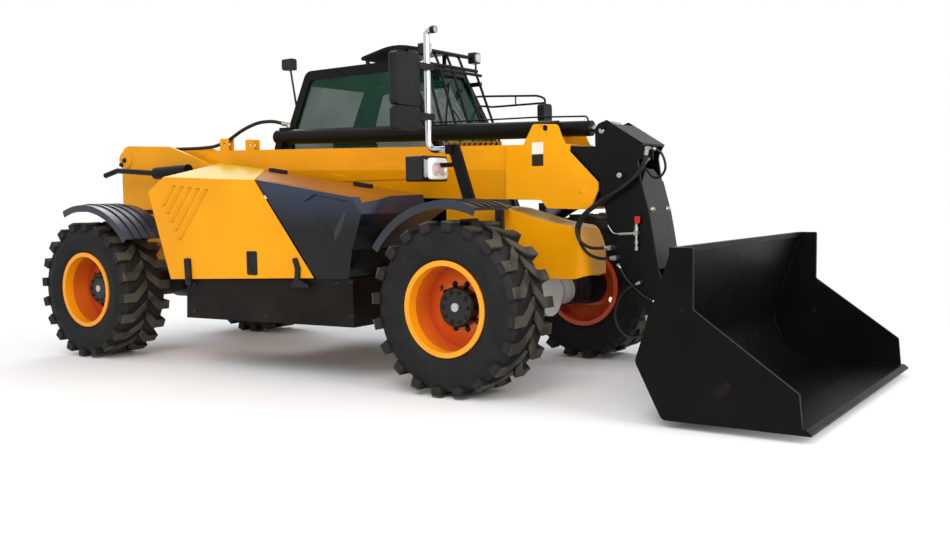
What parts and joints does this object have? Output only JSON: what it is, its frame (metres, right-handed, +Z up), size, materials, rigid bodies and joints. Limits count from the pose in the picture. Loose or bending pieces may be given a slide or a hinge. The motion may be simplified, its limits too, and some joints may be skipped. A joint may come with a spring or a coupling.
{
  "type": "telehandler",
  "caption": "Side-cab telehandler: telescopic boom over a four-wheel-steered chassis, engine hood on the right, wide loading bucket on a gooseneck carriage.",
  "frame": {"origin": "centre of the outline on the ground, under the wheels", "axes": "+X forward along the boom, +Y left towards the cab, +Z up"},
  "size_m": [6.844, 2.5, 2.5596],
  "materials": {
    "black_paint": "satin",
    "bright_tube": "brushed",
    "cast": "painted black",
    "chrome": "bright",
    "deck_paint": "semi-gloss",
    "glass": "clear green tint",
    "gloss_black": "gloss",
    "hose_rubber": "moulded",
    "lamp": "gloss",
    "orange_rim": "semi-gloss",
    "red_paint": "painted",
    "rod_steel": "ground",
    "tool_black": "worn satin",
    "trim_plastic": "matt",
    "tyre": "matt",
    "yellow_paint": "semi-gloss",
    "zinc": "plated"
  },
  "bodies": {
    "chassis": {"chassis_frame": "yellow_paint", "tow_hitch": "black_paint", "front_nose": "yellow_paint", "engine_block": "cast", "side_box": "black_paint", "left_tank": "black_paint", "side_cover": "gloss_black", "deck_panel": "deck_paint", "deck_handles": "trim_plastic", "muffler": "black_paint", "mudguards": "trim_plastic", "lamp_stands": "black_paint", "mirror_pole": "bright_tube", "mirrors": "trim_plastic", "mirror_frame": "black_paint", "lamps": "lamp", "cab_shell": "black_paint", "cab_glass": "glass", "roof_guard": "black_paint", "seat": "trim_plastic", "steering_column": "trim_plastic", "front_axle": "cast", "rear_axle": "cast"},
    "door": {"cab_door": "black_paint", "door_glass": "glass"},
    "hood": {"engine_hood": "yellow_paint", "hood_latches": "trim_plastic"},
    "boom": {"boom_outer": "yellow_paint", "extension_barrel": "black_paint", "tail_hose": "hose_rubber", "boom_fittings": "zinc"},
    "inner_boom_body": {"inner_boom": "black_paint", "gooseneck": "black_paint", "head_cover": "black_paint", "extension_rod": "rod_steel", "neck_hoses": "hose_rubber", "neck_fittings": "zinc", "valve_handle": "red_paint"},
    "lift_barrel_body": {"lift_barrel": "black_paint"},
    "lift_rod_body": {"lift_rod": "chrome"},
    "tilt_barrel_body": {"tilt_barrel": "black_paint"},
    "tilt_rod_body": {"tilt_rod": "chrome"},
    "tool": {"carriage": "black_paint", "bucket": "tool_black"},
    "knuckle_front_left_body": {"knuckle_front_left": "cast"},
    "wheel_front_left": {"tyre_front_left": "tyre", "rim_front_left": "orange_rim"},
    "knuckle_front_right_body": {"knuckle_front_right": "cast"},
    "wheel_front_right": {"tyre_front_right": "tyre", "rim_front_right": "orange_rim"},
    "knuckle_rear_left_body": {"knuckle_rear_left": "cast"},
    "wheel_rear_left": {"tyre_rear_left": "tyre", "rim_rear_left": "orange_rim"},
    "knuckle_rear_right_body": {"knuckle_rear_right": "cast"},
    "wheel_rear_right": {"tyre_rear_right": "tyre", "rim_rear_right": "orange_rim"}
  },
  "joints": [
    {"name": "steer_front_left", "type": "hinge", "parent": "chassis", "child": "knuckle_front_left_body", "pos_m": [1.06, 0.7855, 0.575], "axis": [0, 0, 1], "range_deg": [-30, 30]},
    {"name": "spin_front_left", "type": "hinge", "parent": "knuckle_front_left_body", "child": "wheel_front_left", "pos_m": [1.06, 0.9355, 0.575], "axis": [0, 1, 0], "continuous": true},
    {"name": "steer_front_right", "type": "hinge", "parent": "chassis", "child": "knuckle_front_right_body", "pos_m": [1.06, -0.7855, 0.575], "axis": [0, 0, 1], "range_deg": [-30, 30]},
    {"name": "spin_front_right", "type": "hinge", "parent": "knuckle_front_right_body", "child": "wheel_front_right", "pos_m": [1.06, -0.9355, 0.575], "axis": [0, 1, 0], "continuous": true},
    {"name": "steer_rear_left", "type": "hinge", "parent": "chassis", "child": "knuckle_rear_left_body", "pos_m": [-2.687, 0.7855, 0.575], "axis": [0, 0, 1], "range_deg": [-30, 30]},
    {"name": "spin_rear_left", "type": "hinge", "parent": "knuckle_rear_left_body", "child": "wheel_rear_left", "pos_m": [-2.687, 0.9355, 0.575], "axis": [0, 1, 0], "continuous": true},
    {"name": "steer_rear_right", "type": "hinge", "parent": "chassis", "child": "knuckle_rear_right_body", "pos_m": [-2.687, -0.7855, 0.575], "axis": [0, 0, 1], "range_deg": [-30, 30]},
    {"name": "spin_rear_right", "type": "hinge", "parent": "knuckle_rear_right_body", "child": "wheel_rear_right", "pos_m": [-2.687, -0.9355, 0.575], "axis": [0, 1, 0], "continuous": true},
    {"name": "boom_lift", "type": "hinge", "parent": "chassis", "child": "boom", "pos_m": [-3.13, -0.075, 1.7], "axis": [0, -1, 0], "range_deg": [0, 65]},
    {"name": "boom_extend", "type": "slide", "parent": "boom", "child": "inner_boom_body", "axis": [0.9996, 0, -0.0297], "range_m": [0, 2.6]},
    {"name": "lift_barrel_turn", "type": "hinge", "parent": "chassis", "child": "lift_barrel_body", "pos_m": [-2.25, -0.075, 0.86], "axis": [0, -1, 0], "range_deg": [-1, 70]},
    {"name": "lift_rod_slide", "type": "slide", "parent": "lift_barrel_body", "child": "lift_rod_body", "axis": [0.9838, 0, 0.1791], "range_m": [-0.01, 1.5]},
    {"name": "bucket_tilt", "type": "hinge", "parent": "inner_boom_body", "child": "tool", "pos_m": [2.2, -0.075, 0.33], "axis": [0, 1, 0], "range_deg": [-18, 100]},
    {"name": "tilt_barrel_turn", "type": "hinge", "parent": "inner_boom_body", "child": "tilt_barrel_body", "pos_m": [1.888, -0.075, 1.418], "axis": [0, 1, 0], "range_deg": [-8, 8]},
    {"name": "tilt_rod_slide", "type": "slide", "parent": "tilt_barrel_body", "child": "tilt_rod_body", "axis": [0.1397, 0, -0.9902], "range_m": [-0.37, 0.08]},
    {"name": "door_hinge", "type": "hinge", "parent": "chassis", "child": "door", "pos_m": [-1.345, 1.07, 1.5], "axis": [0, 0, 1], "range_deg": [0, 90]},
    {"name": "hood_hinge", "type": "hinge", "parent": "chassis", "child": "hood", "pos_m": [-1.56, -0.338, 1.542], "axis": [-1, 0, 0], "range_deg": [0, 50]}
  ],
  "couplings": [
    {"joint": "steer_front_right", "follows": "steer_front_left", "ratio": 1},
    {"joint": "steer_rear_right", "follows": "steer_rear_left", "ratio": 1},
    {"joint": "lift_barrel_turn", "follows": "boom_lift", "ratio": 1.0215},
    {"joint": "lift_rod_slide", "follows": "boom_lift", "m_per_rad": 1.151},
    {"joint": "tilt_barrel_turn", "follows": "bucket_tilt", "ratio": -0.011646},
    {"joint": "tilt_rod_slide", "follows": "bucket_tilt", "m_per_rad": -0.20124}
  ]
}
